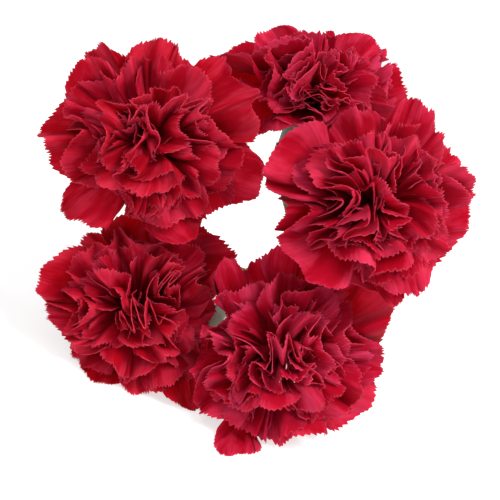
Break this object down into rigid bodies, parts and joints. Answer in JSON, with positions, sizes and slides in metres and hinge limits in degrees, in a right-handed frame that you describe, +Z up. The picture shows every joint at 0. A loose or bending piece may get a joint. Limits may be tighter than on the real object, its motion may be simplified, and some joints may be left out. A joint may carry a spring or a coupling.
{
  "type": "carnation bunch",
  "caption": "Hand-tied bunch of red carnations with ruffled, toothed petals, short spiralling grey-green stems and a twine tie, lying on its side.",
  "frame": {"origin": "on the table, under the middle of the bunch's bounding box", "axes": "+Z up from the table, -Y the way the ring of blooms faces, +X to the right as seen from the front"},
  "size_m": [0.1654, 0.1554, 0.1413],
  "materials": {
    "petals": "matte",
    "calyx": "satin",
    "stem": "satin",
    "twine": "matte"
  },
  "bodies": {
    "root": {"petals_upper_left": "petals", "calyx_upper_left": "calyx", "stem_upper_left": "stem", "petals_upper_right": "petals", "calyx_upper_right": "calyx", "stem_upper_right": "stem", "petals_right": "petals", "calyx_right": "calyx", "stem_right": "stem", "petals_lower_left": "petals", "calyx_lower_left": "calyx", "stem_lower_left": "stem", "petals_lower_middle": "petals", "calyx_lower_middle": "calyx", "stem_lower_middle": "stem", "twine_tie": "twine"}
  },
  "joints": []
}
